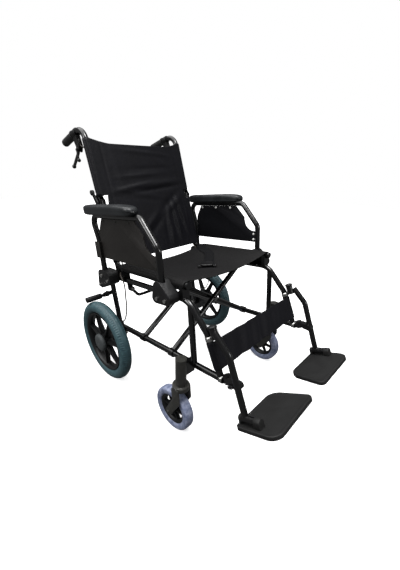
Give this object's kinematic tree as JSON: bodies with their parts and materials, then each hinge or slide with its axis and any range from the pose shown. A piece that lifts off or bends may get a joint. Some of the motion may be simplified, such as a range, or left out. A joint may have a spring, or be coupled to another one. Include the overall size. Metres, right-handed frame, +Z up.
{
  "type": "transport wheelchair",
  "caption": "Folding attendant-pushed wheelchair with a black tube frame, cloth seat and back, hand brakes, spoked wheels and swing-away footrests.",
  "frame": {"origin": "on the floor, under the middle of the chair's outline", "axes": "+Z up, -Y to the front, -X to the user's right"},
  "size_m": [0.638, 1.0346, 0.9115],
  "materials": {
    "frame_paint": "semi-gloss black powder coat",
    "fork_paint": "charcoal powder coat",
    "black_nylon": "moulded black nylon",
    "drum_paint": "dark pressed steel",
    "zinc_steel": "bright zinc plating",
    "cable_sleeve": "brown-grey vinyl sleeve",
    "grip_rubber": "black rubber",
    "pad_skin": "self-skinned polyurethane, slate grey",
    "panel_plastic": "textured black sheet plastic",
    "rear_rubber": "teal grey solid tyre",
    "caster_rubber": "blue grey solid tyre",
    "wheel_plastic": "glass-filled black nylon",
    "footplate_plastic": "matt black moulding",
    "nylon_cloth": "black nylon cloth",
    "belt_webbing": "dark grey webbing"
  },
  "bodies": {
    "frame_right": {"side_frame_right": "frame_paint", "rear_socket_right": "black_nylon", "front_socket_right": "black_nylon", "frame_bolts_right": "zinc_steel", "rear_brake_right": "drum_paint", "brake_cable_right": "cable_sleeve", "back_lower": "nylon_cloth", "calf_strap": "nylon_cloth"},
    "brace_a": {"brace_a": "frame_paint", "brace_bolts": "zinc_steel", "seat_sling": "nylon_cloth", "lap_belt": "belt_webbing"},
    "brace_b": {"brace_b": "frame_paint"},
    "frame_left": {"side_frame_left": "frame_paint", "rear_socket_left": "black_nylon", "front_socket_left": "black_nylon", "frame_bolts_left": "zinc_steel", "rear_brake_left": "drum_paint", "brake_cable_left": "cable_sleeve"},
    "back_right": {"upper_cane_right": "frame_paint", "grip_right": "grip_rubber", "lever_clamp_right": "black_nylon", "upper_cable_right": "cable_sleeve", "back_upper": "nylon_cloth"},
    "brake_lever_right": {"brake_lever_right": "frame_paint"},
    "park_latch_right": {"park_latch_right": "frame_paint"},
    "back_release_right": {"back_release_right": "black_nylon"},
    "link_right": {"link_right": "frame_paint"},
    "armrest_right": {"arm_frame_right": "frame_paint", "arm_pad_right": "pad_skin", "side_panel_right": "panel_plastic"},
    "rear_wheel_right": {"rear_wheel_right": "wheel_plastic", "rear_tyre_right": "rear_rubber"},
    "wheel_lock_right": {"wheel_lock_right": "black_nylon"},
    "caster_fork_right": {"caster_fork_right": "fork_paint"},
    "caster_wheel_right": {"caster_wheel_right": "wheel_plastic", "caster_tyre_right": "caster_rubber"},
    "hanger_right": {"hanger_right": "frame_paint"},
    "hanger_latch_right": {"hanger_latch_right": "black_nylon"},
    "footplate_right": {"footplate_right": "footplate_plastic"},
    "back_left": {"upper_cane_left": "frame_paint", "grip_left": "grip_rubber", "lever_clamp_left": "black_nylon", "upper_cable_left": "cable_sleeve"},
    "brake_lever_left": {"brake_lever_left": "frame_paint"},
    "park_latch_left": {"park_latch_left": "frame_paint"},
    "back_release_left": {"back_release_left": "black_nylon"},
    "link_left": {"link_left": "frame_paint"},
    "armrest_left": {"arm_frame_left": "frame_paint", "arm_pad_left": "pad_skin", "side_panel_left": "panel_plastic"},
    "rear_wheel_left": {"rear_wheel_left": "wheel_plastic", "rear_tyre_left": "rear_rubber"},
    "wheel_lock_left": {"wheel_lock_left": "black_nylon"},
    "caster_fork_left": {"caster_fork_left": "fork_paint"},
    "caster_wheel_left": {"caster_wheel_left": "wheel_plastic", "caster_tyre_left": "caster_rubber"},
    "hanger_left": {"hanger_left": "frame_paint"},
    "hanger_latch_left": {"hanger_latch_left": "black_nylon"},
    "footplate_left": {"footplate_left": "footplate_plastic"}
  },
  "joints": [
    {"name": "fold", "type": "hinge", "parent": "frame_right", "child": "brace_a", "pos_m": [-0.212, -0.02168, 0.22273], "axis": [0, -0.9936, 0.1132], "range_deg": [0, 44.5], "deforming": ["seat_sling", "lap_belt", "back_upper", "back_lower", "calf_strap"]},
    {"name": "fold_centre", "type": "hinge", "parent": "brace_a", "child": "brace_b", "pos_m": [0, -0.00725, 0.34941], "axis": [0, -0.9936, 0.1132], "range_deg": [-89, 0]},
    {"name": "fold_left", "type": "hinge", "parent": "brace_b", "child": "frame_left", "pos_m": [0.212, -0.02168, 0.22273], "axis": [0, -0.9936, 0.1132], "range_deg": [0, 44.5]},
    {"name": "back_fold_right", "type": "hinge", "parent": "frame_right", "child": "back_right", "pos_m": [-0.206, 0.29823, 0.68592], "axis": [-1, 0, 0], "range_deg": [0, 115]},
    {"name": "brake_squeeze_right", "type": "hinge", "parent": "back_right", "child": "brake_lever_right", "pos_m": [-0.206, 0.39865, 0.85367], "axis": [1, 0, 0], "range_deg": [0, 22], "stiffness_Nm_per_rad": 0.6, "springref_deg": -17.19},
    {"name": "park_latch_right", "type": "hinge", "parent": "back_right", "child": "park_latch_right", "pos_m": [-0.216, 0.40067, 0.84041], "axis": [1, 0, 0], "range_deg": [0, 25]},
    {"name": "back_release_right", "type": "hinge", "parent": "frame_right", "child": "back_release_right", "pos_m": [-0.222, 0.28318, 0.67187], "axis": [-1, 0, 0], "range_deg": [0, 18], "stiffness_Nm_per_rad": 0.6, "springref_deg": -17.19},
    {"name": "link_pivot_right", "type": "hinge", "parent": "frame_right", "child": "link_right", "pos_m": [-0.212, 0.11633, 0.39169], "axis": [0, -0.9936, 0.1132], "range_deg": [0, 79]},
    {"name": "armrest_flip_right", "type": "hinge", "parent": "frame_right", "child": "armrest_right", "pos_m": [-0.246, 0.23331, 0.42013], "axis": [-1, 0, 0], "range_deg": [0, 95]},
    {"name": "rear_wheel_spin_right", "type": "hinge", "parent": "frame_right", "child": "rear_wheel_right", "pos_m": [-0.287, 0.2106, 0.16], "axis": [1, 0, 0], "continuous": true},
    {"name": "wheel_lock_right", "type": "hinge", "parent": "frame_right", "child": "wheel_lock_right", "pos_m": [-0.239, 0.2486, 0.335], "axis": [1, 0, 0], "range_deg": [0, 30]},
    {"name": "caster_swivel_right", "type": "hinge", "parent": "frame_right", "child": "caster_fork_right", "pos_m": [-0.262, -0.1974, 0.24], "axis": [0, 0, 1], "continuous": true},
    {"name": "caster_spin_right", "type": "hinge", "parent": "caster_fork_right", "child": "caster_wheel_right", "pos_m": [-0.262, -0.1674, 0.076], "axis": [1, 0, 0], "continuous": true},
    {"name": "hanger_swing_right", "type": "hinge", "parent": "frame_right", "child": "hanger_right", "pos_m": [-0.212, -0.27419, 0.3912], "axis": [0, -0.4347, -0.9006], "range_deg": [0, 90]},
    {"name": "hanger_latch_right", "type": "hinge", "parent": "hanger_right", "child": "hanger_latch_right", "pos_m": [-0.22, -0.35982, 0.26528], "axis": [1, 0, 0], "range_deg": [0, 20], "stiffness_Nm_per_rad": 0.3, "springref_deg": -17.19},
    {"name": "footplate_flip_right", "type": "hinge", "parent": "hanger_right", "child": "footplate_right", "pos_m": [-0.22, -0.40933, 0.18597], "axis": [0, -0.9163, 0.4005], "range_deg": [0, 86]},
    {"name": "back_fold_left", "type": "hinge", "parent": "frame_left", "child": "back_left", "pos_m": [0.206, 0.29823, 0.68592], "axis": [-1, 0, 0], "range_deg": [0, 115]},
    {"name": "brake_squeeze_left", "type": "hinge", "parent": "back_left", "child": "brake_lever_left", "pos_m": [0.206, 0.39865, 0.85367], "axis": [1, 0, 0], "range_deg": [0, 22], "stiffness_Nm_per_rad": 0.6, "springref_deg": -17.19},
    {"name": "park_latch_left", "type": "hinge", "parent": "back_left", "child": "park_latch_left", "pos_m": [0.216, 0.40067, 0.84041], "axis": [1, 0, 0], "range_deg": [0, 25]},
    {"name": "back_release_left", "type": "hinge", "parent": "frame_left", "child": "back_release_left", "pos_m": [0.222, 0.28318, 0.67187], "axis": [-1, 0, 0], "range_deg": [0, 18], "stiffness_Nm_per_rad": 0.6, "springref_deg": -17.19},
    {"name": "link_pivot_left", "type": "hinge", "parent": "frame_left", "child": "link_left", "pos_m": [0.212, 0.11633, 0.39169], "axis": [0, 0.9936, -0.1132], "range_deg": [0, 79]},
    {"name": "armrest_flip_left", "type": "hinge", "parent": "frame_left", "child": "armrest_left", "pos_m": [0.246, 0.23331, 0.42013], "axis": [-1, 0, 0], "range_deg": [0, 95]},
    {"name": "rear_wheel_spin_left", "type": "hinge", "parent": "frame_left", "child": "rear_wheel_left", "pos_m": [0.287, 0.2106, 0.16], "axis": [1, 0, 0], "continuous": true},
    {"name": "wheel_lock_left", "type": "hinge", "parent": "frame_left", "child": "wheel_lock_left", "pos_m": [0.239, 0.2486, 0.335], "axis": [1, 0, 0], "range_deg": [0, 30]},
    {"name": "caster_swivel_left", "type": "hinge", "parent": "frame_left", "child": "caster_fork_left", "pos_m": [0.262, -0.1974, 0.24], "axis": [0, 0, 1], "continuous": true},
    {"name": "caster_spin_left", "type": "hinge", "parent": "caster_fork_left", "child": "caster_wheel_left", "pos_m": [0.262, -0.1674, 0.076], "axis": [1, 0, 0], "continuous": true},
    {"name": "hanger_swing_left", "type": "hinge", "parent": "frame_left", "child": "hanger_left", "pos_m": [0.212, -0.27419, 0.3912], "axis": [0, 0.4347, 0.9006], "range_deg": [0, 90]},
    {"name": "hanger_latch_left", "type": "hinge", "parent": "hanger_left", "child": "hanger_latch_left", "pos_m": [0.22, -0.35982, 0.26528], "axis": [1, 0, 0], "range_deg": [0, 20], "stiffness_Nm_per_rad": 0.3, "springref_deg": -17.19},
    {"name": "footplate_flip_left", "type": "hinge", "parent": "hanger_left", "child": "footplate_left", "pos_m": [0.22, -0.40933, 0.18597], "axis": [0, 0.9163, -0.4005], "range_deg": [0, 86]}
  ],
  "couplings": [
    {"joint": "fold_centre", "follows": "fold", "ratio": -2},
    {"joint": "fold_left", "follows": "fold", "ratio": 1},
    {"joint": "link_pivot_right", "follows": "fold", "ratio": 1.766},
    {"joint": "footplate_flip_right", "follows": "fold", "ratio": 1.93},
    {"joint": "link_pivot_left", "follows": "fold", "ratio": 1.766},
    {"joint": "footplate_flip_left", "follows": "fold", "ratio": 1.93},
    {"joint": "back_fold_left", "follows": "back_fold_right", "ratio": 1}
  ]
}
